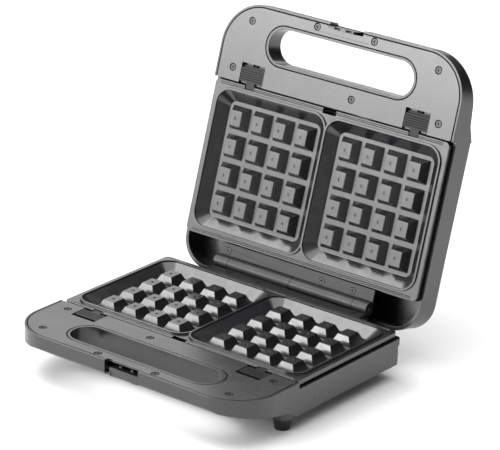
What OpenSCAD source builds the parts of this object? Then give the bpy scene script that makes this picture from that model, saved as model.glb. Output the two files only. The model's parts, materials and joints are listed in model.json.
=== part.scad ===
// Two-slice waffle maker with a hinged lid, stored with the lid open.
// Millimetres. +Z is up, X runs across the body, the handles point to -Y and the hinge is at +Y.
// The origin is on the table, at the middle of the ground that the whole part covers.
// Both halves are laid out alike: z = 0 is the parting plane, y = 0 the hinge axis, and the half
// lies below z = 0. The lid half is turned over about Y, then swung open about the hinge axis.

/* [Body] */
// Width across the side walls
body_w = 253; // [212:1:304]
// From the hinge axis to the front face of the handles
front_reach = 225.5; // [205:0.5:271]
// From the front face of a handle to the rear edge of its panel
handle_d = 70.5; // [66:0.5:76]
// Depth of a half, from its handle panel to its outer face
half_d = 29.5; // [27:0.5:36]
// Depth of a handle at its front edge
slab_front = 13; // [11.5:0.5:16]
// Depth of a handle where it meets the body
slab_root = 22.3; // [19:0.1:25]
// Radius of the handle corners in plan
handle_r = 40; // [33:0.5:48]
// Radius of the rear corners of the lid
lid_rear_r = 27; // [20:0.5:30]
// Radius of the rear corners of the base
base_rear_r = 4; // [3.5:0.5:8]
// How far the lid reaches behind the hinge axis
lid_overhang = 12.8; // [11.8:0.1:15.4]
// Wall thickness of the casings
wall = 2.2; // [1.8:0.1:2.6]
// Width of the bare casing rim round a handle panel
rim_w = 2; // [1.7:0.1:2.4]
// How far the side walls beside the plate stand below the panel
wall_drop = 5.5; // [4.6:0.1:6.6]
// Height of the thick lip along the top of the side walls
lip_h = 6.5; // [5.4:0.1:7.8]
// How far that lip stands proud of the wall below it
lip_step = 1; // [0.8:0.1:1.2]
// Gap under the body, filled by the feet
stand_h = 13.1; // [11:0.1:15.7]
// Half of the gap between the two panels when the lid is shut
parting_gap = 2.4; // [2:0.1:2.9]
// Angle from shut to fully open
open_angle = 105.8; // [90:0.1:106]

/* [Handle] */
// Thickness of the handle panels
panel_t = 2.2; // [1.8:0.1:2.6]
// Clear gap round each handle panel
panel_fit = 0.9; // [0.75:0.05:1.1]
// Length of the hand hole, inside
hole_l = 152.5; // [127:0.5:160]
// Width of the hand hole, inside
hole_w = 30.5; // [26:0.5:33]
// Wall of the hand hole
hole_wall = 2.4; // [2:0.1:2.9]
// From the front face to the middle of the hand hole
hole_y = 31; // [29:0.5:33]
// Hole radius for the panel screws
pilot_r = 1.1; // [0.9:0.05:1.3]

/* [Waffle plates] */
// Side gap between the plate edge and the outer face of the casing
plate_inset = 2.8; // [2.3:0.1:3.3]
// Gap between the panel and the front edge of the plate
plate_fit = 1.4; // [1.2:0.1:1.6]
// From the hinge axis to the rear edge of the plate
plate_setback = 17.4; // [16.5:0.1:20]
// Height of the outer edge of the plate
skirt_h = 4.2; // [3.5:0.1:4.9]
// Metal thickness of the plate
plate_t = 2; // [1.7:0.1:2.4]
// Depth of the pockets
pocket_d = 8; // [6.7:0.1:9.6]
// How far the pocket walls lean in, from the opening to the floor
wall_run = 9.2; // [7.6:0.1:9.6]
// Flat border outside the pockets, at the sides
side_border = 6.2; // [5.2:0.1:7.4]
// Flat border at the front and rear of the pockets
end_border = 7; // [6.4:0.1:8.4]
// Thickness of the ridge between the two pockets
ridge_t = 2; // [1.6:0.1:2.4]
// Corner radius of the pocket openings
pocket_r = 13; // [11:0.5:15]
// Height of the bead round each pocket
bead_h = 1.6; // [1.3:0.1:1.9]
// Width of the bead
bead_w = 1.8; // [1.5:0.1:2]
// Pegs across a pocket
pegs_x = 4; // [3:1:4]
// Pegs along a pocket
pegs_y = 4; // [3:1:4]
// Groove between the feet of two pegs, across
groove_x = 4; // [3.4:0.1:4.8]
// Groove between the feet of two pegs, along
groove_y = 4.8; // [4:0.1:5.7]
// How far the peg sides lean in, across
peg_lean_x = 4.25; // [3.5:0.05:5]
// How far the peg sides lean in, along
peg_lean_y = 3.6; // [3:0.1:4.3]
// Flat floor left outside the pegs
floor_margin = 3.6; // [3:0.1:4.3]
// Radius of the dimple in the top of each peg
dimple_r = 1.3; // [1.1:0.1:1.6]
// Depth of the dimple
dimple_d = 0.6; // [0.5:0.1:0.8]
// Width and depth of the fine lines along the front and rear borders
line_w = 0.5; // [0.4:0.05:0.6]
// Distance between those lines, and from the first one to the edge
line_step = 1.5; // [1.3:0.1:1.7]

/* [Hinge] */
// Outer radius of the hinge barrel
barrel_r = 5.9; // [4.9:0.1:6.2]
// Length of the hinge barrel
barrel_l = 164; // [150:1:170]
// Length of the short knuckle at one end
end_knuckle = 15; // [12.5:0.5:18]
// Radius of the hinge pin
pin_r = 2; // [1.7:0.1:2.4]
// Running clearance round a pin
pin_fit = 0.05; // [0.02:0.01:0.1]
// Gap between two knuckles
knuckle_gap = 0.3; // [0.25:0.05:0.4]
// Thickness of the hinge bracket plates
bracket_t = 2.5; // [2.1:0.1:2.8]

/* [Plate release] */
// Width of a release button
button_w = 24; // [20:0.5:28]
// Length of a release button
button_l = 12; // [10:0.5:12.5]
// Travel of a release button
button_travel = 3.5; // [3:0.1:4]
// From the centre line to the middle of a release button
button_x = 87; // [80:0.5:90]
// Side clearance of a release button
button_fit = 0.5; // [0.4:0.05:0.6]

/* [Latch] */
// Width of the latch recess in the handle
latch_w = 35; // [34:0.5:42]
// From the front face to the edge of the panel in the latch recess
latch_d = 4.9; // [4.6:0.1:6]
// Travel of the latch slider
latch_travel = 4.5; // [4.2:0.1:5]
// Thickness of the front face of the slider
slider_t = 1.6; // [1.3:0.1:1.8]
// Thickness of the hook on the lid
hook_t = 1.8; // [1.5:0.1:1.9]
// Gap in front of and behind the hook
hook_gap = 0.4; // [0.3:0.05:0.5]
// Radius of the rod that guides the slider
rod_r = 1.25; // [1.05:0.05:1.4]

/* [Feet] */
// Radius of a foot where it meets its boss
foot_r = 8.4; // [7:0.1:9]
// Radius of a foot at the table
foot_tip_r = 6.2; // [5.2:0.1:7.4]
// Height of a foot below its boss
foot_h = 10; // [8.4:0.1:10.8]
// From the centre line to the front feet
foot_x = 113; // [94:0.5:116]
// From the centre line to the rear feet
rear_foot_x = 92; // [77:0.5:108]
// From the hinge axis to the front feet
front_foot_y = 158; // [150:0.5:160]
// From the hinge axis to the rear feet
rear_foot_y = 34; // [29:0.5:40]
// Depth of the recess for the screw head in a foot
foot_recess = 4; // [3.3:0.1:4.8]

/* [Heating] */
// Radius of the heating element tube
element_r = 3.2; // [2.7:0.1:3.4]
// Clear gap between the plate and the element
element_gap = 0.4; // [0.3:0.1:0.5]
// Thickness of the reflector sheet
reflector_t = 0.8; // [0.7:0.1:1]
// Radius of the cord gland in the rear wall
gland_r = 5; // [4.2:0.1:6]
// Radius of the two lamp lenses on the lid
lens_r = 4; // [3.3:0.1:4.8]
// Radius of an insulated lead
lead_r = 1.1; // [0.9:0.05:1.3]

/* [Hidden] */

$fn = 48;
EPS = 0.01;

// Colours
casing_col = "#5b5b5d";
panel_col = "#77777a";
plate_col = "#4a4a4c";
metal_col = "#b9bbbd";
dark_col = "#1f1f20";

// Planes and edges of a half, from the hinge axis and the parting plane
panel_z = -parting_gap;
wall_z = panel_z - wall_drop;
outer_z = panel_z - half_d;
floor_z = outer_z + wall;
front_y = -front_reach;
shoulder_y = front_y + handle_d;
root_y = shoulder_y - 13.7;
plate_rear_y = -plate_setback;
base_rear_y = plate_rear_y + wall + 0.4;
step_z = wall_z - lip_h;
half_w = body_w / 2;
edge_chamfer = 2;
hinge_z = stand_h + half_d + parting_gap;

// Side outline of a half: front edge, sloping underside of the handle, flat outer face
function underside(lift) = [
    [front_y, panel_z - slab_front + edge_chamfer + lift],
    [front_y + edge_chamfer, panel_z - slab_front + lift],
    [root_y, panel_z - slab_root + lift],
    [shoulder_y, outer_z + lift]];
// Rearmost point of the open lid, which sets how far the hinge stands back from the origin
lid_back = max([for (p = underside(0)) p[0] * cos(open_angle) - p[1] * sin(open_angle)]);
hinge_y = (front_reach - lid_back) / 2;

// Waffle plate
plate_w = body_w - 2 * plate_inset;
plate_front_y = shoulder_y + plate_fit;
plate_l = plate_rear_y - plate_front_y;
pocket_w = plate_w / 2 - side_border - ridge_t / 2;
pocket_l = plate_l - 2 * end_border;
pocket_x = (pocket_w + ridge_t) / 2;
pocket_y = (plate_front_y + plate_rear_y) / 2;
floor_w = pocket_w - 2 * wall_run;
floor_l = pocket_l - 2 * wall_run;
pitch_x = (floor_w - 2 * floor_margin + groove_x) / pegs_x;
pitch_y = (floor_l - 2 * floor_margin + groove_y) / pegs_y;
peg_w = pitch_x - groove_x;
peg_l = pitch_y - groove_y;
plate_bottom_z = panel_z - pocket_d - plate_t;

// Rear tabs and front notches that hold a plate
casing_inner_y = base_rear_y - wall - lip_step;
tab_w = 12;
tab_t = 1.8;
tab_fit = 0.4;
tab_web = 1.2;
tab_x = half_w - 52;
tab_z = wall_z - 2 - tab_fit - tab_t;
tab_web_y = casing_inner_y - tab_fit;
notch_w = 10;
notch_d = 3.4;
ledge_t = 1.6;
middle_notch_w = 14;
middle_notch_d = end_border - plate_t - 0.4;

// Heating element and reflector
element_z = plate_bottom_z - element_gap - element_r;
element_bend = 16;
element_w = plate_w - 84;
element_front_y = pocket_y - 34;
element_rear_y = plate_rear_y - 16;
reflector_z = element_z - element_r - 1.2;
reflector_w = body_w - 2 * (wall + lip_step) - 12;
reflector_front_y = shoulder_y + 5;
reflector_rear_y = base_rear_y - wall - 5;

// Handle: screws as [x, distance from the front face]
hole_cy = front_y + hole_y;
ring_r = hole_w / 2 + hole_wall;
seam_r = ring_r + panel_fit;
hole_run = hole_l / 2 - hole_w / 2;
boss_r = 3.5;
side_screw_x = half_w - 17.8;
corner_screw_x = half_w - 28.5;
screws = [[-side_screw_x, handle_d - 11.4], [side_screw_x, handle_d - 11.4],
    [-corner_screw_x, 15.9], [corner_screw_x, 15.9], [-30, 6.5], [30, 6.5], [-19, handle_d - 11.4]];
head_r = 2.6;
head_h = 1.6;
head_sink = 0.3;
head_gap = 0.8;

// Release buttons: a cap in the panel on a wider foot that slides below it
button_top_z = panel_z - 0.4;
button_rear_y = shoulder_y - 1.8;
button_front_y = button_rear_y - button_l;
button_slot_front_y = button_front_y - button_travel - 0.7;
panel_low_z = panel_z - panel_t;
cap_z = panel_low_z + 0.15;
neck_z = panel_low_z - 0.1;
button_foot_t = 1.6;
button_foot_w = button_w + 3.4;
button_foot_front_y = button_front_y - 2;
button_foot_rear_y = shoulder_y - wall - 0.05;
spring_r = 1.9;
spring_wire = 0.3;
spring_turns = 6;
spring_z = neck_z - button_foot_t - 1.6;
spring_room = 12;
spring_wall_y = button_slot_front_y - spring_room;
tongue_w = notch_w - 1.2;
tongue_reach = notch_d - 0.6;
grip_lines = 5;
grip_line_w = 0.7;

// Hinge
knuckle_x = barrel_l / 2 - end_knuckle;
bracket_front_y = plate_rear_y + 1;
bracket_screws = [-(barrel_l / 2 - 8.3), 27.7, 60.2];
bracket_screw_y = -barrel_r - 4.5;
bridge_z = panel_z - bracket_t;
bridge_d = 7.2;
bridge_rear_y = -3;
bridge_w = barrel_l + 2;
stop_x = barrel_l / 2 - 14;
stop_gap = 0.3;

// Latch: the slider rides on a rod, and its two pegs move over the toes of the hook
latch_back_y = front_y + latch_d;
slider_front_y = front_y + 0.5;
slider_back_y = slider_front_y + slider_t;
hook_front_y = slider_back_y + hook_gap;
hook_back_y = hook_front_y + hook_t;
slider_top_z = panel_z - 5.2;
slider_low_z = panel_z - slab_front + 0.5;
slider_left = -latch_w / 2 + latch_travel + 0.4;
slider_right = latch_w / 2 - 0.4;
shelf_top_z = slider_top_z - 0.2;
shelf_t = 1.2;
catch_low_z = panel_low_z - 1.6;
catch_top_z = panel_low_z - 0.4;
catch_back_y = hook_back_y + hook_gap + 1.4;
rod_y = hook_back_y + 1.6;
rod_z = shelf_top_z - shelf_t - 0.8 - rod_r;
rod_rib = 2.5;
hook_left = -11;
hook_right = latch_w / 2 - 0.5;
hook_low_z = panel_z - 9.2;
hook_tip_z = parting_gap + 0.4;
toe_top_z = -catch_low_z + 0.1;
toe_t = 1.1;
toe_l = 3;
legs = [-9, 3];
catch_in = 0.4;
catch_l = toe_l - 0.8;
hook_foot_t = 1.8;
hook_screws = [-5, 12];
hook_screw_y = hook_back_y + 5;

// Feet
boss_r_foot = foot_r + 0.6;
front_boss_top_z = min(panel_z - slab_root + wall + 0.8, reflector_z - reflector_t - 0.5);
feet = [[-foot_x, -front_foot_y], [foot_x, -front_foot_y],
    [-rear_foot_x, -rear_foot_y], [rear_foot_x, -rear_foot_y]];

// Fittings inside
thermostat_y = pocket_y + 25;
disc_r = 6.4;
gland_x = -40;
gland_z = outer_z + 9;
block_y = casing_inner_y - 14;
lens_x = 14;
lens_y = pocket_y - 26;

// Places the children, laid out as a half, in the base or in the open lid
module base_frame() {
    translate([0, hinge_y, hinge_z]) children();
}
module lid_frame() {
    translate([0, hinge_y, hinge_z])
        rotate([-open_angle, 0, 0])
            rotate([0, 180, 0]) children();
}

// Plan outline, from one Y to another, with round front and rear corners
module outline(w, y0, y1, r0, r1) {
    intersection() {
        union() {
            translate([-w, y0 + r0]) square([2 * w, y1 - y0 - r0 - r1]);
            translate([-w + r0, y0]) square([2 * (w - r0), y1 - y0 - r1]);
            translate([-w + r1, y0 + r0]) square([2 * (w - r1), y1 - y0 - r0]);
            for (s = [-1, 1]) {
                translate([s * (w - r0), y0 + r0]) circle(r0, $fn = 96);
                translate([s * (w - r1), y1 - r1]) circle(r1, $fn = 96);
            }
        }
        translate([-w - 1, y0 - 1]) square([2 * w + 2, y1 - y0 + 1]);
    }
}

// Slot shape with round ends, along X
module stadium(run, r) {
    square([2 * run, 2 * r], center = true);
    for (s = [-1, 1]) translate([s * run, 0]) circle(r, $fn = 96);
}

// Bar along X whose side view is given
module side_bar(points, w) {
    rotate([90, 0, 90]) translate([0, 0, -w / 2]) linear_extrude(w) polygon(points);
}

// Box from one corner to the other
module box(a, b) {
    translate(a) cube(b - a);
}

// Round bar along X between two places
module x_bar(r, x0, x1) {
    translate([x0, 0, 0]) rotate([0, 90, 0]) cylinder(r = r, h = x1 - x0);
}

// Everything above the underside, lifted by a wall where asked
module above_underside(lift, rear_y) {
    side_bar(concat(underside(lift), [[rear_y, outer_z + lift], [rear_y, 10], [front_y, 10]]),
        body_w + 10);
}

module hand_hole(r, top) {
    translate([0, hole_cy, outer_z - 1]) linear_extrude(top - outer_z + 1)
        stadium(hole_run, r);
}

// Hollow casing of a half, open towards the parting plane
module casing_shell(rear_y, rear_r) {
    lip_wall = wall + lip_step;
    inner_rear_r = max(rear_r - lip_wall, 0.5);
    difference() {
        intersection() {
            translate([0, 0, outer_z]) linear_extrude(panel_z - outer_z)
                outline(half_w, front_y, rear_y, handle_r, rear_r);
            above_underside(0, rear_y);
        }
        // hollow of the handle
        intersection() {
            translate([0, 0, outer_z]) linear_extrude(half_d + 5)
                outline(half_w - rim_w, front_y + rim_w, rear_y, handle_r - rim_w, rear_r);
            above_underside(wall, rear_y);
            box([-half_w, front_y, outer_z], [half_w, shoulder_y - wall, 5]);
        }
        // hollow of the body
        translate([0, 0, floor_z]) linear_extrude(half_d + 5)
            outline(half_w - lip_wall, shoulder_y, rear_y - lip_wall, 1, inner_rear_r);
        // walls beside the plate are lower than the panel
        box([-half_w - 1, shoulder_y, wall_z], [half_w + 1, rear_y + 1, 5]);
        // seat of the panel on the wall behind it
        box([-half_w + rim_w, shoulder_y - wall - 1, panel_low_z],
            [half_w - rim_w, shoulder_y + 1, 5]);
        // the lip stands proud of the wall below it
        difference() {
            box([-half_w - 1, shoulder_y, outer_z - 1], [half_w + 1, rear_y + 1, step_z]);
            translate([0, 0, outer_z - 2]) linear_extrude(half_d)
                outline(half_w - lip_step, shoulder_y - 5, rear_y - lip_step, 1,
                    max(rear_r - lip_step, 0.5));
        }
    }
}

// Screw posts and the tube of the hand hole
module handle_posts() {
    intersection() {
        union() {
            hand_hole(ring_r, panel_z);
            for (s = screws)
                translate([s[0], front_y + s[1], outer_z])
                    cylinder(r = boss_r, h = panel_low_z - outer_z);
        }
        above_underside(0, 0);
    }
}

module pilot_holes() {
    for (s = screws)
        translate([s[0], front_y + s[1], panel_low_z - 7]) cylinder(r = pilot_r, h = 10);
}

// Row of plate tabs, or with a fit the windows that they enter
module tab_row(fit) {
    for (s = [-1, 1])
        box([s * tab_x - tab_w / 2 - fit, tab_web_y - tab_web, tab_z - fit],
            [s * tab_x + tab_w / 2 + fit, base_rear_y - 0.4 + fit, tab_z + tab_t + fit]);
}

// Wall behind the plate with the windows for its tabs
module tab_wall() {
    box([-half_w + wall, casing_inner_y, floor_z - EPS],
        [half_w - wall, base_rear_y - lip_step, wall_z]);
}

// Space in which a release button, its foot and its spring move
module button_space() {
    for (s = [-1, 1]) {
        box([s * button_x - button_foot_w / 2 - button_fit,
                button_foot_front_y - button_travel - 0.6, neck_z - button_foot_t - 0.2],
            [s * button_x + button_foot_w / 2 + button_fit, shoulder_y - wall, 5]);
        box([s * button_x - spring_r - 1.4, spring_wall_y, spring_z - spring_r - 1],
            [s * button_x + spring_r + 1.4, button_rear_y - 4, neck_z]);
    }
}

// Block round a release button, up to the panel
module button_seat() {
    for (s = [-1, 1])
        box([s * button_x - button_foot_w / 2 - 2.2, spring_wall_y - 1.6,
                spring_z - spring_r - 2.6],
            [s * button_x + button_foot_w / 2 + 2.2, shoulder_y - wall, panel_low_z]);
}

// Opening of the latch in the front wall
module latch_opening() {
    box([-latch_w / 2, front_y - 1, outer_z], [latch_w / 2, front_y + rim_w + 0.1, 5]);
}

module half_casing(rear_y, rear_r) {
    difference() {
        union() {
            casing_shell(rear_y, rear_r);
            handle_posts();
            difference() {
                button_seat();
                button_space();
            }
            tab_wall();
        }
        hand_hole(hole_w / 2, 5);
        pilot_holes();
        tab_row(tab_fit);
        latch_opening();
    }
}

// Four-sided block that narrows towards its top
module frustum(w0, l0, w1, l1, h) {
    corners = [[-1, -1], [1, -1], [1, 1], [-1, 1]];
    polyhedron(
        points = concat([for (s = corners) [s[0] * w0 / 2, s[1] * l0 / 2, 0]],
            [for (s = corners) [s[0] * w1 / 2, s[1] * l1 / 2, h]]),
        faces = [[0, 1, 2, 3], [7, 6, 5, 4], [0, 4, 5, 1], [1, 5, 6, 2], [2, 6, 7, 3],
            [3, 7, 4, 0]]);
}

// Rounded block over z = 0, which narrows below it when a depth is given
module basin(w, l, r, rise, run, depth) {
    hull()
        for (sx = [-1, 1], sy = [-1, 1]) {
            translate([sx * (w / 2 - r), sy * (l / 2 - r), 0])
                cylinder(r = r, h = rise, $fn = 32);
            if (depth > 0)
                translate([sx * (w / 2 - run - r / 2), sy * (l / 2 - run - r / 2), -depth])
                    cylinder(r = r / 2, h = EPS, $fn = 32);
        }
}

module pegs() {
    for (i = [0:pegs_x - 1], j = [0:pegs_y - 1])
        translate([(i - (pegs_x - 1) / 2) * pitch_x, (j - (pegs_y - 1) / 2) * pitch_y, 0])
            difference() {
                translate([0, 0, -pocket_d - EPS])
                    frustum(peg_w, peg_l, peg_w - 2 * peg_lean_x, peg_l - 2 * peg_lean_y,
                        pocket_d + EPS);
                translate([0, 0, -dimple_d]) cylinder(r = dimple_r, h = dimple_d + 1, $fn = 24);
            }
}

// Fine lines along one border of a plate, from its edge inwards
module border_lines(edge_y, inwards) {
    for (k = [1, 2])
        translate([0, edge_y + inwards * k * line_step, panel_z])
            cube([plate_w - 2 * side_border, line_w, 2 * line_w], center = true);
}

// Cast waffle plate with two pockets
module waffle_plate() {
    rim_y0 = plate_front_y;
    difference() {
        union() {
            translate([0, 0, panel_z - plate_t]) linear_extrude(plate_t)
                outline(plate_w / 2, rim_y0, plate_rear_y, 4, 4);
            translate([0, 0, panel_z - skirt_h]) linear_extrude(skirt_h)
                difference() {
                    outline(plate_w / 2, rim_y0, plate_rear_y, 4, 4);
                    outline(plate_w / 2 - plate_t, rim_y0 + plate_t, plate_rear_y - plate_t,
                        2, 2);
                }
            for (s = [-1, 1]) {
                translate([s * pocket_x, pocket_y, panel_z])
                    basin(pocket_w + 2 * bead_w, pocket_l + 2 * bead_w, pocket_r + bead_w,
                        bead_h, 0, 0);
                translate([s * pocket_x, pocket_y, panel_z - EPS])
                    basin(pocket_w + 2 * plate_t, pocket_l + 2 * plate_t,
                        pocket_r + plate_t, EPS / 2, wall_run, pocket_d + plate_t - EPS);
                // ledges that the release tongues hold down
                box([s * button_x - notch_w / 2 - 2, rim_y0, panel_z - skirt_h],
                    [s * button_x + notch_w / 2 + 2, rim_y0 + notch_d + 1, panel_z]);
                // webs that carry the rear tabs
                box([s * tab_x - tab_w / 2, tab_web_y - tab_web, tab_z],
                    [s * tab_x + tab_w / 2, tab_web_y, panel_z - EPS]);
            }
            tab_row(0);
        }
        for (s = [-1, 1]) {
            translate([s * pocket_x, pocket_y, panel_z])
                basin(pocket_w, pocket_l, pocket_r, bead_h + 1, wall_run, pocket_d);
            box([s * button_x - notch_w / 2, rim_y0 - 1, panel_z - skirt_h + ledge_t],
                [s * button_x + notch_w / 2, rim_y0 + notch_d, panel_z + 1]);
        }
        box([-middle_notch_w / 2, rim_y0 - 1, panel_z - skirt_h - 1],
            [middle_notch_w / 2, rim_y0 + middle_notch_d, panel_z + 1]);
        border_lines(plate_front_y, 1);
        border_lines(plate_rear_y, -1);
    }
    for (s = [-1, 1]) translate([s * pocket_x, pocket_y, panel_z]) pegs();
}

// Flat panel that closes the handle
module handle_panel() {
    edge = rim_w + panel_fit;
    difference() {
        translate([0, 0, panel_low_z]) linear_extrude(panel_t)
            difference() {
                outline(half_w - edge, front_y + edge, shoulder_y, handle_r - edge, 2);
                translate([0, hole_cy]) stadium(hole_run, seam_r);
            }
        for (s = [-1, 1])
            box([s * button_x - button_w / 2 - button_fit, button_slot_front_y, panel_z - 9],
                [s * button_x + button_w / 2 + button_fit, shoulder_y + 1, 5]);
        box([-latch_w / 2, front_y, panel_z - 9], [latch_w / 2, latch_back_y, 5]);
        for (s = screws)
            translate([s[0], front_y + s[1], panel_low_z - 1]) {
                cylinder(r = pilot_r + 0.5, h = 9);
                translate([0, 0, panel_t + 1 - head_h - head_sink])
                    cylinder(r = head_r + head_gap, h = 9);
            }
    }
}

// Cross-head screw whose head seats at the origin
module screw(shank_r, shank_l, r, h) {
    difference() {
        union() {
            translate([0, 0, -shank_l]) cylinder(r = shank_r, h = shank_l + EPS);
            cylinder(r = r, h = h);
        }
        for (a = [0, 90])
            rotate(a) translate([0, 0, h]) cube([r * 1.3, r * 0.34, 1.8], center = true);
    }
}

module panel_screws() {
    for (s = screws)
        translate([s[0], front_y + s[1], panel_z - head_h - head_sink])
            screw(pilot_r - 0.02, panel_t + 4, head_r, head_h);
}

// Sprung button whose tongue holds the front edge of a plate
module release_button(s) {
    translate([s * button_x, 0, 0])
        difference() {
            union() {
                box([-button_w / 2, button_front_y, cap_z],
                    [button_w / 2, button_rear_y, button_top_z]);
                box([-button_w / 2 + 1, button_front_y + 1, neck_z - EPS],
                    [button_w / 2 - 1, button_foot_rear_y, cap_z + EPS]);
                box([-button_foot_w / 2, button_foot_front_y, neck_z - button_foot_t],
                    [button_foot_w / 2, button_foot_rear_y, neck_z]);
                // tongue over the ledge of the plate
                box([-tongue_w / 2, button_rear_y - 1, cap_z],
                    [tongue_w / 2, plate_front_y + tongue_reach, button_top_z - 0.2]);
                // block and peg that carry the spring
                box([-2.4, button_foot_front_y, spring_z - 2.2],
                    [2.4, button_foot_front_y + 3, neck_z - 1]);
                translate([0, button_foot_front_y + 1, spring_z]) rotate([90, 0, 0])
                    cylinder(r = spring_r - spring_wire - 0.2, h = 4);
            }
            // grip grooves
            for (k = [1:grip_lines])
                translate([0, button_front_y + k * button_l / (grip_lines + 1), button_top_z])
                    cube([button_w - 2, grip_line_w, 2 * grip_line_w], center = true);
        }
}

// Point on a coil spring, at a turn along it and a corner of its wire
function coil_point(r, w, pitch, turn, k) =
    let (a = 360 * turn, b = 60 * k)
    [(r + w * cos(b)) * cos(a), (r + w * cos(b)) * sin(a), turn * pitch + w * sin(b)];

// Coil spring that stands on z = 0
module coil(r, w, length, turns) {
    steps = turns * 14;
    pitch = (length - 2 * w) / turns;
    translate([0, 0, w])
        polyhedron(
            points = [for (i = [0:steps], k = [0:5]) coil_point(r, w, pitch, i / 14, k)],
            faces = concat(
                [[for (k = [0:5]) k]],
                [for (i = [0:steps - 1], k = [0:5])
                    [i * 6 + k, (i + 1) * 6 + k, (i + 1) * 6 + (k + 1) % 6, i * 6 + (k + 1) % 6]],
                [[for (k = [5:-1:0]) steps * 6 + k]]));
}

module button_spring(s) {
    length = button_foot_front_y - spring_wall_y - 0.1;
    translate([s * button_x, button_foot_front_y - 0.05, spring_z]) rotate([90, 0, 0])
        coil(spring_r, spring_wire, length, spring_turns);
}

// Sheet tray that throws the heat back at the plate, on its four posts
module reflector() {
    difference() {
        box([-reflector_w / 2, reflector_front_y, reflector_z - reflector_t],
            [reflector_w / 2, reflector_rear_y, reflector_z + 5]);
        box([-reflector_w / 2 + reflector_t, reflector_front_y + reflector_t, reflector_z],
            [reflector_w / 2 - reflector_t, reflector_rear_y - reflector_t, reflector_z + 9]);
        for (s = [-1, 1])
            translate([s * element_w / 2, element_rear_y, reflector_z - 5])
                cylinder(r = element_r + 0.6, h = 9);
        translate([0, thermostat_y, reflector_z - 5]) cylinder(r = disc_r + 0.6, h = 9);
    }
    for (sx = [-1, 1], sy = [-1, 1])
        translate([sx * (reflector_w / 2 - 16), pocket_y + sy * 44, floor_z])
            difference() {
                cylinder(r = 4, h = reflector_z - floor_z - reflector_t / 2);
                translate([0, 0, -1]) cylinder(r = 1.5, h = reflector_z - floor_z - 2);
            }
}

// Tubular element: a U in plan, with its ends turned down through the reflector
module heating_element() {
    x = element_w / 2;
    turn = 6;
    drop = element_z - floor_z - 2.5;
    translate([0, 0, element_z]) {
        for (s = [-1, 1]) {
            translate([s * x, element_front_y + element_bend, 0]) rotate([-90, 0, 0])
                cylinder(r = element_r, h = element_rear_y - turn - element_front_y
                    - element_bend);
            translate([s * x, element_rear_y - turn, -turn]) rotate([90, 0, 90])
                rotate_extrude(angle = 90) translate([turn, 0]) circle(element_r);
            translate([s * x, element_rear_y, -drop]) cylinder(r = element_r, h = drop - turn);
            translate([s * x, element_rear_y, -drop - 1.8]) cylinder(r = 1.2, h = 4);
            translate([s * (x - element_bend), element_front_y + element_bend, 0])
                rotate(s > 0 ? -90 : 180)
                    rotate_extrude(angle = 90) translate([element_bend, 0]) circle(element_r);
        }
        translate([0, element_front_y, 0]) x_bar(element_r, -x + element_bend,
            x - element_bend);
    }
}

// Saddles that hold the element on the reflector
module element_clamps() {
    for (s = [-1, 1], k = [0, 1])
        translate([s * element_w / 2, element_front_y + 26 + k * 36, reflector_z])
            difference() {
                box([-7, -5, 0], [7, 5, element_z - reflector_z + 1]);
                translate([0, -6, element_z - reflector_z]) rotate([-90, 0, 0])
                    cylinder(r = element_r + 0.05, h = 12);
            }
}

// Snap disc thermostat that reaches up to the plate
module thermostat() {
    translate([0, thermostat_y, floor_z]) {
        cylinder(r = disc_r, h = plate_bottom_z - floor_z - 0.6);
        cylinder(r = 10, h = 2);
        for (s = [-1, 1]) box([s * 9 - 3, -2, 3], [s * 9 + 3, 2, 3.8]);
    }
}

// Barrel of a bracket: a short knuckle at +X and a long one on the other side of the middle
knuckles = [[knuckle_x + knuckle_gap / 2, barrel_l / 2],
    [-knuckle_x + knuckle_gap / 2, -knuckle_gap / 2]];

// Hinge bracket, the same piece on both halves
module hinge_bracket() {
    difference() {
        union() {
            difference() {
                box([-barrel_l / 2, bracket_front_y, bridge_z],
                    [barrel_l / 2, -barrel_r + 1, panel_z]);
                x_bar(barrel_r + 0.5, -barrel_l, barrel_l);
            }
            for (k = knuckles) {
                x_bar(barrel_r, k[0], k[1]);
                box([k[0], -barrel_r - 1, bridge_z], [k[1], 0, panel_z]);
            }
        }
        x_bar(pin_r + pin_fit, -barrel_l, barrel_l);
        for (x = bracket_screws)
            translate([-x, bracket_screw_y, bridge_z - 1]) cylinder(r = 1.6, h = 9);
        for (x = bracket_screws)
            translate([-x, bracket_screw_y, panel_z - 0.9]) cylinder(r = 3, h = 9);
    }
}

module hinge_screws() {
    for (x = bracket_screws)
        translate([-x, bracket_screw_y, panel_z - 0.9]) screw(1.23, bracket_t + 3.4, 2.6, 1.1);
}

module bracket_pilots() {
    for (x = bracket_screws)
        translate([-x, bracket_screw_y, bridge_z - 6]) cylinder(r = 1.25, h = 10);
}

// Ribs on both sides of the latch opening that hold the ends of the guide rod
module rod_ribs() {
    intersection() {
        for (s = [-1, 1])
            box([s * (latch_w / 2 + rod_rib / 2) - rod_rib / 2, front_y + 0.5, outer_z],
                [s * (latch_w / 2 + rod_rib / 2) + rod_rib / 2, rod_y + rod_r + 1.6,
                    panel_low_z]);
        above_underside(0, 0);
    }
}

// Stops that the rear rim of the lid lands on when it is fully open
module lid_stops() {
    for (s = [-1, 1])
        intersection() {
            rotate([-open_angle, 0, 0])
                box([s * stop_x - 5, -4, -wall_z - stop_gap - 12],
                    [s * stop_x + 5, lid_overhang - 0.4, -wall_z - stop_gap]);
            box([s * stop_x - 5, bridge_rear_y - 3, bridge_z - bridge_d - 5],
                [s * stop_x + 5, 8, bridge_z - 0.8]);
        }
}

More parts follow.
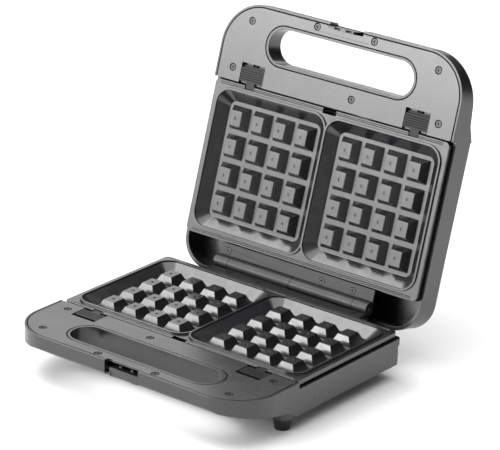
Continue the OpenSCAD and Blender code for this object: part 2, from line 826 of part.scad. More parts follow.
module base_casing() {
    color(casing_col) base_frame() difference() {
        union() {
            half_casing(base_rear_y, base_rear_r);
            // bridge behind the plate that carries the hinge bracket
            box([-bridge_w / 2, base_rear_y - wall, bridge_z - bridge_d],
                [bridge_w / 2, bridge_rear_y, bridge_z]);
            lid_stops();
            rod_ribs();
            for (f = feet)
                translate([f[0], f[1], -hinge_z + foot_h])
                    cylinder(r = boss_r_foot, h = (f[1] == -front_foot_y ? front_boss_top_z : floor_z)
                        + hinge_z - foot_h);
        }
        translate([0, rod_y, rod_z]) x_bar(rod_r + 0.02, -latch_w, latch_w);
        bracket_pilots();
        tab_row(tab_fit);
        // clearance round the knuckles of both halves
        x_bar(barrel_r + 0.5, -barrel_l / 2 - 0.5, barrel_l / 2 + 0.5);
        for (f = feet)
            translate([f[0], f[1], -hinge_z]) cylinder(r = 1.25, h = foot_h + 4.5);
        translate([gland_x, base_rear_y + 1, gland_z]) rotate([90, 0, 0])
            cylinder(r = gland_r - 1.2, h = wall + lip_step + 2);
        // cooling slots under the body
        for (k = [-7:7])
            box([k * 9 - 1.6, pocket_y - 20, outer_z - 1], [k * 9 + 1.6, pocket_y + 8,
                floor_z + 1]);
    }
}

module base_handle_panel() {
    color(panel_col) base_frame() handle_panel();
}

module base_panel_screws() {
    color(metal_col) base_frame() panel_screws();
}

module base_waffle_plate() {
    color(plate_col) base_frame() waffle_plate();
}

module base_release_button_left() {
    color(panel_col) base_frame() release_button(-1);
}

module base_release_button_right() {
    color(panel_col) base_frame() release_button(1);
}

module base_button_spring_left() {
    color(metal_col) base_frame() button_spring(-1);
}

module base_button_spring_right() {
    color(metal_col) base_frame() button_spring(1);
}

module base_reflector() {
    color(metal_col) base_frame() reflector();
}

module base_heating_element() {
    color(metal_col) base_frame() heating_element();
}

module base_element_clamps() {
    color(metal_col) base_frame() element_clamps();
}

module base_thermostat() {
    color(metal_col) base_frame() thermostat();
}

module base_hinge_bracket() {
    color(casing_col) base_frame() hinge_bracket();
}

module base_hinge_screws() {
    color(metal_col) base_frame() hinge_screws();
}

module hinge_pin() {
    color(metal_col) base_frame() x_bar(pin_r, -barrel_l / 2 + 0.4, barrel_l / 2 - 0.4);
}

// Slider whose pegs close over the toes of the hook when it moves to -X
module latch_slider() {
    color(casing_col) base_frame() difference() {
        union() {
            box([slider_left, slider_front_y, slider_low_z],
                [slider_right, slider_back_y, slider_top_z]);
            box([slider_left, slider_back_y - EPS, shelf_top_z - shelf_t],
                [slider_right - 2, catch_back_y, shelf_top_z]);
            for (x = [slider_left, slider_right - 5])
                box([x, rod_y - rod_r - 1.2, rod_z - rod_r - 1],
                    [x + 3, rod_y + rod_r + 1.2, shelf_top_z]);
            for (a = legs) {
                x = a + catch_in + latch_travel;
                box([x, hook_back_y + hook_gap, shelf_top_z - EPS],
                    [x + catch_l, catch_back_y, catch_top_z]);
                box([x, hook_front_y, catch_low_z], [x + catch_l, catch_back_y, catch_top_z]);
            }
        }
        translate([0, rod_y, rod_z]) x_bar(rod_r + 0.06, -latch_w, latch_w);
        // arrow near the free end, and a scoop for the finger along the lower edge
        translate([slider_left + 1, slider_front_y - 1, slider_top_z - 4.4]) rotate([-90, 0, 0])
            linear_extrude(1.6) polygon([[0, -1.4], [2.4, 0.6], [0, 2.6]]);
        translate([(slider_left + slider_right) / 2, slider_front_y - 1, slider_low_z - 30])
            rotate([-90, 0, 0]) cylinder(r = 31.2, h = 1.8, $fn = 128);
    }
}

module latch_guide_rod() {
    length = latch_w + 2 * rod_rib;
    color(metal_col) base_frame() translate([0, rod_y, rod_z])
        x_bar(rod_r, -length / 2, length / 2);
}

module foot_pads() {
    color(dark_col) base_frame()
        for (f = feet)
            translate([f[0], f[1], -hinge_z]) difference() {
                cylinder(r1 = foot_tip_r, r2 = foot_r, h = foot_h);
                translate([0, 0, -1]) cylinder(r = 3.2, h = foot_recess + 1);
                translate([0, 0, -1]) cylinder(r = 1.7, h = foot_h + 2);
            }
}

module foot_screws() {
    color(metal_col) base_frame()
        for (f = feet)
            translate([f[0], f[1], -hinge_z + foot_recess]) rotate([180, 0, 0])
                screw(1.23, foot_h - foot_recess + 4, 2.8, 1.8);
}

// Sleeve in the rear wall where the mains lead enters
module cord_gland() {
    color(dark_col) base_frame() translate([gland_x, base_rear_y - lip_step, gland_z])
        rotate([-90, 0, 0]) difference() {
            union() {
                translate([0, 0, -wall - 1]) cylinder(r = gland_r - 1.3, h = wall + 2);
                cylinder(r = gland_r, h = 6);
                translate([0, 0, -wall - 2]) cylinder(r = gland_r, h = 2);
            }
            translate([0, 0, -20]) cylinder(r = 2.6, h = 40);
        }
}

// Ceramic block that joins the leads
module terminal_block() {
    color("#e4e1d8") base_frame() translate([gland_x, block_y, floor_z]) difference() {
        box([-13, -6, 0], [13, 6, 6.5]);
        for (k = [-1:1])
            translate([k * 8, 0, 2.5]) cylinder(r = 1.6, h = 9);
    }
}

// Sealed fuse in line with one lead
module thermal_fuse() {
    color(metal_col) base_frame() translate([0, block_y, floor_z + 3.5])
        x_bar(2, gland_x + 22, gland_x + 34);
}

// Lead that follows a list of points
module lead(points) {
    for (i = [0:len(points) - 2])
        hull()
            for (p = [points[i], points[i + 1]])
                translate(p) sphere(lead_r, $fn = 12);
}

module base_wiring() {
    z = floor_z + 3.5;
    end_x = element_w / 2;
    color("#d9d4c8") base_frame() {
        lead([[gland_x + 13.1 + lead_r, block_y, z], [gland_x + 21.9 - lead_r, block_y, z]]);
        lead([[gland_x + 34.1 + lead_r, block_y, z], [end_x - 12, block_y, z],
            [end_x - element_r - lead_r - 0.3, element_rear_y - 2, z]]);
        lead([[gland_x - 13.1 - lead_r, block_y, z], [-end_x + 12, block_y, z],
            [-end_x + element_r + lead_r + 0.3, element_rear_y - 2, z]]);
        lead([[-9 - lead_r, thermostat_y + 2 + lead_r + 0.1, floor_z + 3.4],
            [gland_x + 4, block_y - 14, z], [gland_x + 4, block_y - 6.1 - lead_r, z]]);
    }
}

module lid_casing() {
    color(casing_col) lid_frame() difference() {
        union() {
            half_casing(lid_overhang, lid_rear_r);
            // posts under the hinge bracket, tied to the wall behind the plate
            for (x = bracket_screws) {
                translate([-x, bracket_screw_y, floor_z - EPS])
                    cylinder(r = 3.6, h = bridge_z - floor_z + EPS);
                box([-x - 1, base_rear_y - lip_step - EPS, floor_z - EPS], [-x + 1, bracket_screw_y,
                    bridge_z - 1]);
            }
            // pads under the foot of the latch hook
            intersection() {
                for (x = hook_screws)
                    translate([x, hook_screw_y, outer_z])
                        cylinder(r = 2.8, h = hook_low_z - outer_z);
                above_underside(0, 0);
            }
        }
        bracket_pilots();
        tab_row(tab_fit);
        for (x = hook_screws)
            translate([x, hook_screw_y, hook_low_z - 3.4]) cylinder(r = 0.95, h = 6);
        for (s = [-1, 1])
            translate([s * lens_x, lens_y, outer_z - 1]) cylinder(r = lens_r + 0.05, h = 9);
    }
}

module lid_handle_panel() {
    color(panel_col) lid_frame() handle_panel();
}

module lid_panel_screws() {
    color(metal_col) lid_frame() panel_screws();
}

module lid_waffle_plate() {
    color(plate_col) lid_frame() waffle_plate();
}

module lid_release_button_left() {
    color(panel_col) lid_frame() release_button(1);
}

module lid_release_button_right() {
    color(panel_col) lid_frame() release_button(-1);
}

module lid_button_spring_left() {
    color(metal_col) lid_frame() button_spring(1);
}

module lid_button_spring_right() {
    color(metal_col) lid_frame() button_spring(-1);
}

module lid_reflector() {
    color(metal_col) lid_frame() reflector();
}

module lid_heating_element() {
    color(metal_col) lid_frame() heating_element();
}

module lid_element_clamps() {
    color(metal_col) lid_frame() element_clamps();
}

module lid_thermostat() {
    color(metal_col) lid_frame() thermostat();
}

module lid_hinge_bracket() {
    color(casing_col) lid_frame() hinge_bracket();
}

module lid_hinge_screws() {
    color(metal_col) lid_frame() hinge_screws();
}

// Hook that enters the base behind the slider when the lid is shut
module latch_hook() {
    color(casing_col) lid_frame() difference() {
        union() {
            box([hook_left, hook_front_y, hook_low_z],
                [hook_right - 3, hook_back_y, hook_tip_z]);
            box([hook_left, hook_front_y, hook_low_z],
                [hook_right, hook_back_y, hook_tip_z - 3]);
            translate([hook_right - 3, hook_back_y, hook_tip_z - 3]) rotate([90, 0, 0])
                cylinder(r = 3, h = hook_t);
            box([hook_left, hook_back_y - EPS, hook_low_z],
                [hook_right, hook_screw_y + 3.4, hook_low_z + hook_foot_t]);
            // legs and toes, laid out for the mirrored lid
            for (a = legs) {
                box([-a, hook_front_y, hook_tip_z - EPS],
                    [-a + 3, hook_back_y, toe_top_z + toe_t]);
                box([-a - toe_l, hook_front_y, toe_top_z],
                    [-a + EPS, hook_back_y, toe_top_z + toe_t]);
            }
        }
        for (x = hook_screws)
            translate([x, hook_screw_y, hook_low_z - 1]) cylinder(r = 1.3, h = 6);
    }
}

module latch_hook_screws() {
    color(metal_col) lid_frame()
        for (x = hook_screws)
            translate([x, hook_screw_y, hook_low_z + hook_foot_t])
                screw(0.93, hook_foot_t + 3.2, 2.2, 1.2);
}

// Carrier that stands the two lamps behind their lenses
module lamp_holder() {
    color("#e4e1d8") lid_frame() translate([0, lens_y, floor_z]) difference() {
        box([-lens_x - 8, -5.5, 0], [lens_x + 8, 5.5, 4.5]);
        for (s = [-1, 1]) translate([s * lens_x, 0, -1]) cylinder(r = lens_r + 0.4, h = 3.6);
        for (s = [-1, 1]) translate([s * lens_x, 0, 1]) cylinder(r = 1.65, h = 9);
    }
}

module indicator_lamps() {
    color("#e08a3c") lid_frame()
        for (s = [-1, 1]) translate([s * lens_x, lens_y, floor_z + 1.8]) {
            cylinder(r = 1.6, h = 5);
            translate([0, 0, 2.75]) cylinder(r = 2.2, h = 2);
        }
}

// Round lens with a collar that stops it on the outside
module lens(s) {
    translate([s * lens_x, lens_y, outer_z]) {
        cylinder(r = lens_r, h = wall + 0.6);
        translate([0, 0, -0.8]) cylinder(r = lens_r + 0.9, h = 0.8);
    }
}

module power_lens() {
    color("#c23a30") lid_frame() lens(1);
}

module ready_lens() {
    color("#4fa05a") lid_frame() lens(-1);
}

module lid_wiring() {
    z = floor_z + 3.5;
    end_x = element_w / 2;
    color("#d9d4c8") lid_frame() {
        for (s = [-1, 1])
            lead([[s * (lens_x + 8.1 + lead_r), lens_y, z], [s * (lens_x + 16), lens_y + 20, z],
                [s * (end_x - element_r - lead_r - 0.3), element_rear_y - 2, z]]);
        lead([[end_x - 14, block_y, z], [-end_x + 14, block_y, z]]);
    }
}

base_casing();
base_handle_panel();
base_panel_screws();
base_waffle_plate();
base_release_button_left();
base_release_button_right();
base_button_spring_left();
base_button_spring_right();
base_reflector();
base_heating_element();
base_element_clamps();
base_thermostat();
base_hinge_bracket();
base_hinge_screws();
hinge_pin();
latch_slider();
latch_guide_rod();
foot_pads();
foot_screws();
cord_gland();
terminal_block();
thermal_fuse();
base_wiring();
lid_casing();
lid_handle_panel();
lid_panel_screws();
lid_waffle_plate();
lid_release_button_left();
lid_release_button_right();
lid_button_spring_left();
lid_button_spring_right();
lid_reflector();
lid_heating_element();
lid_element_clamps();
lid_thermostat();
lid_hinge_bracket();
lid_hinge_screws();
latch_hook();
latch_hook_screws();
lamp_holder();
indicator_lamps();
power_lens();
ready_lens();
lid_wiring();
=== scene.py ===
"""Two-slice waffle maker, lid open, on a white studio floor. Metres, in the row frame."""

import json
import math

import bmesh
import bpy
from mathutils import Matrix, Vector
from mathutils.bvhtree import BVHTree


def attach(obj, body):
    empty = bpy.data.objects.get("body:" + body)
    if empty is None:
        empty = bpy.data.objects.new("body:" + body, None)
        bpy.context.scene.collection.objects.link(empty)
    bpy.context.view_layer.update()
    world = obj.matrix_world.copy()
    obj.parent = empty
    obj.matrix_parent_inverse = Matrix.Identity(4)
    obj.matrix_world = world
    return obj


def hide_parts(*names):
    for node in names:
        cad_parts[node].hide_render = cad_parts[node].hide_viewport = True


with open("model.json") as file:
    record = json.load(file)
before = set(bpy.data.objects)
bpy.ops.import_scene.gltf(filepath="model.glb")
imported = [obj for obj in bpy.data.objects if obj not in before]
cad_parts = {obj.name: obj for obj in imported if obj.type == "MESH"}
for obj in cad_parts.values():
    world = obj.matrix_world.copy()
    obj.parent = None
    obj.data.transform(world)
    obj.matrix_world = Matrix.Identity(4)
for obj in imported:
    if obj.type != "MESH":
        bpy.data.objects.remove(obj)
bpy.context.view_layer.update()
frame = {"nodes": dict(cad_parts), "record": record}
NODES = frame["nodes"]
RECORD = frame["record"]
BODY_OF = {node: body for body, members in RECORD["behaviour"]["bodies"].items()
           for node in members}
SLOT_OF = {part["node"]: part["material_slot"] for part in RECORD["subparts"]}
MM = 0.001

# ---------------------------------------------------------------- material tools

# Noise values bunch around one half: this band of them is spread over the whole range.
NOISE_LOW, NOISE_HIGH = 0.35, 0.65
# Share of open space around a spot at which it is a seam, and at which it is an open face:
# painted shade is full at the first and gone at the second.
SEAM, OPEN = 0.3, 0.75
OPENNESS_RAYS = 8
# Sockets of the colour mix: its two colours and its result.
DARK, LIGHT, MIXED = 6, 7, 2


def rgb(code):
    """sRGB hex to the linear colour that shaders use."""
    parts = [int(code[i : i + 2], 16) / 255 for i in (1, 3, 5)]
    linear = [p / 12.92 if p <= 0.04045 else ((p + 0.055) / 1.055) ** 2.4 for p in parts]
    return (*linear, 1)


def per_metre(size_mm):
    """The scale of a pattern whose largest grain is size_mm across."""
    return 1 / (size_mm * MM)


def add(tree, kind, inputs, output=0, **settings):
    """Adds one node with its settings and links, and gives back one of its outputs. An input
    is a value or another node's output. A list fills the inputs in their order."""
    node = tree.nodes.new("ShaderNode" + kind)
    for key, value in settings.items():
        setattr(node, key, value)
    for key, value in inputs.items() if isinstance(inputs, dict) else enumerate(inputs):
        if isinstance(value, bpy.types.NodeSocket):
            tree.links.new(value, node.inputs[key])
        else:
            node.inputs[key].default_value = value
    return node.outputs[output] if node.outputs else None


def new_material(name):
    """An empty material, its node tree, and where a spot lies on its piece."""
    mat = bpy.data.materials.new(name)
    mat.use_nodes = True
    tree = mat.node_tree
    tree.nodes.clear()
    return mat, tree, add(tree, "TexCoord", [], "Object")


# ---------------------------------------------------------------- materials


def moulded_plastic(name, dark, light, rough_low, rough_high, gloss=1.0, painted_shade_reach_mm=3.0):
    """Injection-moulded ABS or nylon: a fine spark-eroded grain that softens the highlights,
    a slow change of gloss across the flats where the tool is worn, faint flow shading, and
    painted shade in the seams, where the shine is turned down to nothing."""
    mat, t, at = new_material(name)
    tint = add(t, "TexNoise", {"Vector": at, "Scale": per_metre(38), "Detail": 2}, "Fac")
    wear = add(t, "TexNoise", {"Vector": at, "Scale": per_metre(22), "Detail": 3}, "Fac")
    flow = add(t, "TexNoise", {"Vector": at, "Scale": per_metre(14), "Detail": 2}, "Fac")
    grain = add(t, "TexNoise", {"Vector": at, "Scale": per_metre(0.35), "Detail": 2}, "Fac")
    grained = add(t, "Bump", {"Height": grain, "Distance": 0.002 * MM, "Strength": 0.3})
    relief = add(t, "Bump", {"Height": flow, "Distance": 0.004 * MM, "Strength": 0.2,
                             "Normal": grained})
    # painted shade: where little open space is around a spot, in seams and recesses, the shine
    # is turned down so they look dark
    openness = add(t, "AmbientOcclusion", {"Distance": painted_shade_reach_mm * MM}, "AO",
                   samples=OPENNESS_RAYS)
    add(t, "OutputMaterial", {"Surface": add(t, "BsdfPrincipled", {
        "Base Color": add(t, "Mix", {0: tint, DARK: rgb(dark), LIGHT: rgb(light)}, MIXED,
                          data_type="RGBA"),
        "Roughness": add(t, "MapRange", [wear, NOISE_LOW, NOISE_HIGH, rough_low, rough_high]),
        "Specular IOR Level": add(t, "MapRange", [openness, SEAM, OPEN, 0.0, gloss]),
        "Normal": relief})})
    return mat


def nonstick_coating(name, dark, light):
    """Sprayed and baked non-stick coat on cast aluminium: slightly orange-peeled gloss with
    fine pearl specks and tiny differences in gloss from peg to peg."""
    mat, t, at = new_material(name)
    peel = add(t, "TexNoise", {"Vector": at, "Scale": per_metre(1.6), "Detail": 2}, "Fac")
    specks = add(t, "TexNoise", {"Vector": at, "Scale": per_metre(0.4), "Detail": 1}, "Fac")
    baked = add(t, "TexNoise", {"Vector": at, "Scale": per_metre(9), "Detail": 3}, "Fac")
    pearl = add(t, "MapRange", [specks, 0.55, 0.8, 0.0, 1.0])
    # painted shade: down between the pegs and in recesses the shine is turned down, so they look
    # darker
    openness = add(t, "AmbientOcclusion", {"Distance": 2.0 * MM}, "AO", samples=OPENNESS_RAYS)
    add(t, "OutputMaterial", {"Surface": add(t, "BsdfPrincipled", {
        "Base Color": add(t, "Mix", {0: pearl, DARK: rgb(dark), LIGHT: rgb(light)}, MIXED,
                          data_type="RGBA"),
        "Roughness": add(t, "MapRange", [baked, NOISE_LOW, NOISE_HIGH, 0.2, 0.27]),
        "Specular IOR Level": add(t, "MapRange", [openness, SEAM, OPEN, 0.25, 1.0]),
        "Normal": add(t, "Bump", {"Height": peel, "Distance": 0.012 * MM,
                                  "Strength": 0.4})})})
    return mat


def drawn_steel(name, dark, light, rough=0.28):
    """Drawn or turned steel: fine lines along the part, a soft uneven brightness, and painted
    shade, near black, where it goes down into a hole or a slot."""
    mat, t, at = new_material(name)
    # stretched along X, the length of the pin and the rod
    along = add(t, "VectorMath", [at, (0.08, 1, 1)], operation="MULTIPLY")
    lines = add(t, "TexNoise", {"Vector": along, "Scale": per_metre(0.5), "Detail": 3,
                                "Roughness": 0.6}, "Fac")
    tone = add(t, "Mix", {0: lines, DARK: rgb(dark), LIGHT: rgb(light)}, MIXED,
               data_type="RGBA")
    # painted shade: the colour goes to near black (#020202) where little open space is around a
    # spot, in holes and slots
    openness = add(t, "AmbientOcclusion", {"Distance": 2.5 * MM}, "AO", samples=OPENNESS_RAYS)
    painted_shade_fac = add(t, "MapRange", [openness, SEAM, OPEN, 0.0, 1.0])
    add(t, "OutputMaterial", {"Surface": add(t, "BsdfPrincipled", {
        "Base Color": add(t, "Mix", {0: painted_shade_fac, DARK: rgb("#020202"), LIGHT: tone}, MIXED,
                          data_type="RGBA"),
        "Metallic": 1.0,
        "Roughness": add(t, "MapRange", [lines, NOISE_LOW, NOISE_HIGH, rough * 0.8,
                                         rough * 1.3]),
        "Normal": add(t, "Bump", {"Height": lines, "Distance": 0.004 * MM,
                                  "Strength": 0.4})})})
    return mat


def rolled_sheet(name):
    """Aluminised steel sheet: rolling streaks with cloudy spangle."""
    mat, t, at = new_material(name)
    # stretched along X, the way it was rolled
    along = add(t, "VectorMath", [at, (0.05, 1, 1)], operation="MULTIPLY")
    streaks = add(t, "TexNoise", {"Vector": along, "Scale": per_metre(1.2), "Detail": 3,
                                  "Roughness": 0.6}, "Fac")
    spangle = add(t, "TexNoise", {"Vector": at, "Scale": per_metre(12), "Detail": 2}, "Fac")
    add(t, "OutputMaterial", {"Surface": add(t, "BsdfPrincipled", {
        "Base Color": add(t, "Mix", {0: spangle, DARK: rgb("#a9abad"), LIGHT: rgb("#cfd0d2")},
                          MIXED, data_type="RGBA"),
        "Metallic": 1.0,
        "Roughness": add(t, "MapRange", [streaks, NOISE_LOW, NOISE_HIGH, 0.25, 0.45]),
        "Normal": add(t, "Bump", {"Height": streaks, "Distance": 0.01 * MM,
                                  "Strength": 0.4})})})
    return mat


def heat_dulled_tube(name):
    """Steel sheath of an element after heating: straw and blue-grey oxide in cloudy bands."""
    mat, t, at = new_material(name)
    oxide = add(t, "TexNoise", {"Vector": at, "Scale": per_metre(18), "Detail": 4}, "Fac")
    scale = add(t, "TexNoise", {"Vector": at, "Scale": per_metre(1.2), "Detail": 2}, "Fac")
    add(t, "OutputMaterial", {"Surface": add(t, "BsdfPrincipled", {
        "Base Color": add(t, "Mix", {0: oxide, DARK: rgb("#57504a"), LIGHT: rgb("#7f7f84")},
                          MIXED, data_type="RGBA"),
        "Metallic": 0.9,
        "Roughness": add(t, "MapRange", [oxide, NOISE_LOW, NOISE_HIGH, 0.4, 0.6]),
        "Normal": add(t, "Bump", {"Height": scale, "Distance": 0.02 * MM,
                                  "Strength": 0.4})})})
    return mat


def foot_rubber(name):
    """Moulded black rubber: matte with a fine chalky bloom."""
    mat, t, at = new_material(name)
    bloom = add(t, "TexNoise", {"Vector": at, "Scale": per_metre(3), "Detail": 4}, "Fac")
    grain = add(t, "TexNoise", {"Vector": at, "Scale": per_metre(0.4), "Detail": 2}, "Fac")
    add(t, "OutputMaterial", {"Surface": add(t, "BsdfPrincipled", {
        "Base Color": add(t, "Mix", {0: bloom, DARK: rgb("#0b0b0b"), LIGHT: rgb("#1b1b1b")},
                          MIXED, data_type="RGBA"),
        "Roughness": add(t, "MapRange", [bloom, NOISE_LOW, NOISE_HIGH, 0.55, 0.8]),
        "Normal": add(t, "Bump", {"Height": grain, "Distance": 0.01 * MM,
                                  "Strength": 0.5})})})
    return mat


def pressed_ceramic(name):
    """Steatite, pressed and fired: off-white, half-matte, with a few darker grains."""
    mat, t, at = new_material(name)
    specks = add(t, "TexNoise", {"Vector": at, "Scale": per_metre(1.0), "Detail": 3}, "Fac")
    patches = add(t, "TexNoise", {"Vector": at, "Scale": per_metre(6), "Detail": 2}, "Fac")
    grain = add(t, "TexNoise", {"Vector": at, "Scale": per_metre(0.6), "Detail": 2}, "Fac")
    add(t, "OutputMaterial", {"Surface": add(t, "BsdfPrincipled", {
        "Base Color": add(t, "Mix", {0: specks, DARK: rgb("#cdc8b8"), LIGHT: rgb("#ebe7dc")},
                          MIXED, data_type="RGBA"),
        "Roughness": add(t, "MapRange", [patches, NOISE_LOW, NOISE_HIGH, 0.35, 0.55]),
        "Normal": add(t, "Bump", {"Height": grain, "Distance": 0.01 * MM,
                                  "Strength": 0.4})})})
    return mat


def woven_sleeve(name):
    """Braided glass sleeve on a lead: a tight diagonal braid, slightly fuzzy."""
    mat, t, at = new_material(name)
    # this scale repeats the braid every 0.7 mm
    braid = add(t, "TexWave", {"Vector": at, "Scale": 900.0, "Distortion": 1.5}, "Fac",
                bands_direction="DIAGONAL")
    add(t, "OutputMaterial", {"Surface": add(t, "BsdfPrincipled", {
        "Base Color": add(t, "Mix", {0: braid, DARK: rgb("#a89f8a"), LIGHT: rgb("#ded7c6")},
                          MIXED, data_type="RGBA"),
        "Roughness": 0.85,
        "Normal": add(t, "Bump", {"Height": braid, "Distance": 0.08 * MM,
                                  "Strength": 0.7})})})
    return mat


def tinted_lens(name, dark, light):
    """Clear tinted acrylic, moulded: smooth, glowing slightly where light gathers in it."""
    mat, t, at = new_material(name)
    depth = add(t, "TexNoise", {"Vector": at, "Scale": per_metre(3), "Detail": 2}, "Fac")
    sink = add(t, "TexNoise", {"Vector": at, "Scale": per_metre(2.5), "Detail": 1}, "Fac")
    add(t, "OutputMaterial", {"Surface": add(t, "BsdfPrincipled", {
        "Base Color": add(t, "Mix", {0: depth, DARK: rgb(dark), LIGHT: rgb(light)}, MIXED,
                          data_type="RGBA"),
        "Roughness": 0.12, "Transmission Weight": 0.35, "IOR": 1.49,
        "Normal": add(t, "Bump", {"Height": sink, "Distance": 0.01 * MM,
                                  "Strength": 0.3})})})
    return mat


def lamp_glass(name):
    """Small neon lamp: thin blown glass with an orange body."""
    mat, t, at = new_material(name)
    glow = add(t, "TexNoise", {"Vector": at, "Scale": per_metre(2), "Detail": 2}, "Fac")
    add(t, "OutputMaterial", {"Surface": add(t, "BsdfPrincipled", {
        "Base Color": add(t, "Mix", {0: glow, DARK: rgb("#c9733a"), LIGHT: rgb("#f0b583")},
                          MIXED, data_type="RGBA"),
        "Roughness": 0.1, "Transmission Weight": 0.4, "IOR": 1.5})})
    return mat


def studio_paint(name):
    """Flat white emulsion on the studio floor: matte, with a barely uneven tone."""
    mat, t, at = new_material(name)
    tone = add(t, "TexNoise", {"Vector": at, "Scale": per_metre(300), "Detail": 2}, "Fac")
    add(t, "OutputMaterial", {"Surface": add(t, "BsdfPrincipled", {
        "Base Color": add(t, "Mix", {0: tone, DARK: rgb("#f4f4f4"), LIGHT: rgb("#f7f7f7")},
                          MIXED, data_type="RGBA"),
        "Roughness": 0.9})})
    return mat


# One for each material slot of the record. The plastics give their darkest and lightest tone,
# their roughness from and to, how strongly open faces shine, and how wide a seam's painted shade
# is.
MATERIALS = {
    "casing": moulded_plastic("Satin ABS casing", "#161618", "#1b1b1d", 0.22, 0.28, 0.8),
    "panel": moulded_plastic("Satin ABS panel", "#1b1b1d", "#202022", 0.24, 0.3),
    "button": moulded_plastic("Grained ABS button", "#0a0a0b", "#101011", 0.36, 0.44, 0.3),
    "bracket": moulded_plastic("Grained ABS hinge bracket", "#0d0d0e", "#141415",
                               0.38, 0.46, 0.6),
    "latch": moulded_plastic("Satin ABS latch", "#161618", "#1b1b1d", 0.24, 0.3, 0.8, 9.0),
    "nonstick": nonstick_coating("Non-stick coat on cast aluminium", "#17171a", "#2b2b2e"),
    "steel": drawn_steel("Bright steel", "#8d8f92", "#c4c6c9"),
    "dark_steel": drawn_steel("Blackened steel", "#38383a", "#5c5c60", 0.3),
    "sheet": rolled_sheet("Aluminised sheet"),
    "element": heat_dulled_tube("Heat-dulled steel sheath"),
    "rubber": foot_rubber("Moulded black rubber"),
    "ceramic": pressed_ceramic("Steatite ceramic"),
    "sleeve": woven_sleeve("Woven glass sleeve"),
    "holder": moulded_plastic("Heat-resistant nylon", "#c8c6bc", "#dcdad0", 0.45, 0.6),
    "red_lens": tinted_lens("Clear red lens", "#7a0d09", "#a51710"),
    "green_lens": tinted_lens("Clear green lens", "#0c5a20", "#15802f"),
    "lamp": lamp_glass("Neon lamp glass"),
}

# ---------------------------------------------------------------- pieces

# Corners of the CAD mesh that are closer than this are one corner.
WELD_MM = 0.025
# Faces that meet at less than this are one flat face.
FLAT = math.radians(0.6)
# Edges that turn by more than this are real edges, so they are softened.
SHARP = math.radians(30)
# Widths of the softened edges, and how many steps round them. The pieces that the eye is
# drawn to have their own width and one step more.
SOFT_MM = {"base_casing": 0.2, "lid_casing": 0.2,
           "base_handle_panel": 0.15, "lid_handle_panel": 0.15,
           "base_waffle_plate": 0.2, "lid_waffle_plate": 0.2,
           "base_hinge_bracket": 0.12, "lid_hinge_bracket": 0.12}
SMALL_PIECE_MM = 0.1
STEPS, SMALL_PIECE_STEPS = 3, 2


def clean_faces(mesh):
    """Joins split corners and flat strips, and cuts what has over four corners into triangles,
    which the softening needs."""
    bm = bmesh.new()
    bm.from_mesh(mesh)
    bmesh.ops.remove_doubles(bm, verts=bm.verts, dist=WELD_MM * MM)
    bmesh.ops.dissolve_limit(bm, angle_limit=FLAT, use_dissolve_boundaries=False,
                             verts=bm.verts, edges=bm.edges, delimit=set())
    bmesh.ops.triangulate(bm, faces=[f for f in bm.faces if len(f.verts) > 4])
    bm.to_mesh(mesh)
    bm.free()
    if "custom_normal" in mesh.attributes:
        mesh.attributes.remove(mesh.attributes["custom_normal"])
    for poly in mesh.polygons:
        poly.use_smooth = True
    mesh.set_sharp_from_angle(angle=SHARP)


def pull_in(mesh, source, limit):
    """Moves any corner that the softening threw off the surface back onto it."""
    tree = BVHTree.FromPolygons([v.co for v in source.vertices],
                                [p.vertices for p in source.polygons])
    for vert in mesh.vertices:
        spot, _, _, away = tree.find_nearest(vert.co)
        if away > limit:
            vert.co = spot


def finish_piece(node, width, steps):
    """A copy of a CAD piece with clean faces and softened edges, which stands for that piece."""
    source = NODES[node].data
    mesh = source.copy()
    clean_faces(mesh)
    mesh.materials.clear()
    mesh.materials.append(MATERIALS[SLOT_OF[node]])
    obj = bpy.data.objects.new(node + "_finished", mesh)
    bpy.context.scene.collection.objects.link(obj)
    soften = obj.modifiers.new("softened edges", "BEVEL")
    soften.width = width
    soften.segments = steps
    soften.limit_method = "ANGLE"
    soften.angle_limit = SHARP
    soften.use_clamp_overlap = False
    soften.harden_normals = True
    soften.miter_outer = "MITER_ARC"
    softened = obj.evaluated_get(bpy.context.evaluated_depsgraph_get())
    obj.data = bpy.data.meshes.new_from_object(softened)
    obj.modifiers.clear()
    pull_in(obj.data, source, width)
    obj.modifiers.new("face-weighted shading", "WEIGHTED_NORMAL").keep_sharp = True
    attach(obj, BODY_OF[node])
    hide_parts(node)


for node in NODES:
    finish_piece(node, SOFT_MM.get(node, SMALL_PIECE_MM) * MM,
                 STEPS if node in SOFT_MM else SMALL_PIECE_STEPS)

# ---------------------------------------------------------------- stage and light

FLOOR_WIDTH = 12
# The room is dim, and lighter towards the front left and above.
BRIGHT_SIDE = (-0.62, -0.70, 0.35)
# How far a direction leans to the bright side, from and to, and the light it then gives.
ROOM_LIGHT = (-0.7, 0.8, 0.04, 0.5)
# A spot inside the open object, which every lamp faces.
AIM = Vector((0, 0, 0.1))

bpy.ops.mesh.primitive_plane_add(size=FLOOR_WIDTH, location=(0, 0, 0))
floor = bpy.context.object
floor.name = "studio_floor"
floor.data.materials.append(studio_paint("Matte white studio floor"))

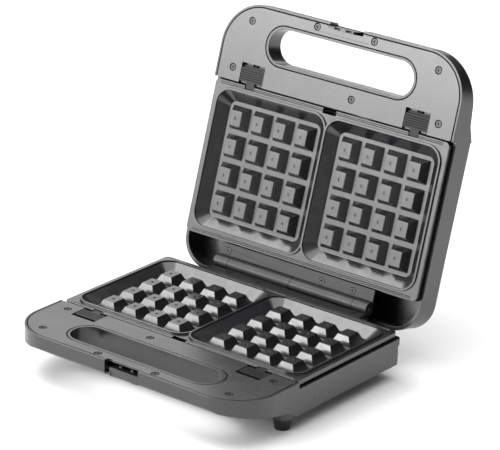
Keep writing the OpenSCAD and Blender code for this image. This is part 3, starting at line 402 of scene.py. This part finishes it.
world = bpy.data.worlds.new("Studio")
bpy.context.scene.world = world
world.use_nodes = True
room = world.node_tree
room.nodes.clear()
way = add(room, "TexCoord", [], "Generated")
lean = add(room, "VectorMath", [way, BRIGHT_SIDE], "Value", operation="DOT_PRODUCT")
level = add(room, "MapRange", [lean, *ROOM_LIGHT])
add(room, "OutputWorld", {"Surface": add(room, "Background", {
    "Color": (1, 1, 1, 1), "Strength": level})})


def softbox(name, place, size, brightness):
    """A rectangular soft light that faces the object. Brightness is that of its white face."""
    light = bpy.data.lights.new(name, "AREA")
    light.shape = "RECTANGLE"
    light.size, light.size_y = size
    light.energy = brightness * math.pi * size[0] * size[1]
    obj = bpy.data.objects.new(name, light)
    obj.location = place
    obj.rotation_euler = (AIM - Vector(place)).to_track_quat("-Z", "Y").to_euler()
    bpy.context.scene.collection.objects.link(obj)


# broad and soft, from the front left
softbox("front-left softbox", (-1.2, -1.75, 0.75), (2.4, 1.5), 2.6)
# narrower and brighter, from the same side
softbox("front-left key", (-1.15, -1.55, 0.85), (1.3, 0.5), 9.0)
# large and even, from above
softbox("overhead softbox", (-0.2, 0.3, 2.2), (3.8, 3.6), 2.1)
# from high on the left
softbox("high left key", (-1.2, -0.5, 1.75), (1.1, 0.9), 3.5)
# weak, from behind on the left
softbox("back-left card", (-1.2, 1.5, 0.95), (1.6, 1.1), 1.3)

# ---------------------------------------------------------------- camera

# The hinge axis, the eye measured from it, and which way the frame's right and top point.
HINGE = Vector((0, 0.0749136, 0.045))
EYE = HINGE + Vector((1.4184, -1.9174, 0.9794))
RIGHT = Vector((0.78614, 0.61717, 0.03307))
UP = Vector((-0.24799, 0.26597, 0.93154))
SENSOR_WIDTH_MM, LENS_MM = 36, 216.68
# Nothing farther away than this is drawn.
FARTHEST = 50

# a long lens from the right front, a little above, rolled slightly
back = RIGHT.cross(UP).normalized()
right = UP.cross(back).normalized()
turn = Matrix((right, back.cross(right), back)).transposed()
lens = bpy.data.cameras.new("product camera")
lens.sensor_width = SENSOR_WIDTH_MM
lens.lens = LENS_MM
lens.clip_end = FARTHEST
camera = bpy.data.objects.new("product camera", lens)
camera.matrix_world = Matrix.Translation(EYE) @ turn.to_4x4()
bpy.context.scene.collection.objects.link(camera)
bpy.context.scene.camera = camera
bpy.context.scene.view_settings.view_transform = "Standard"
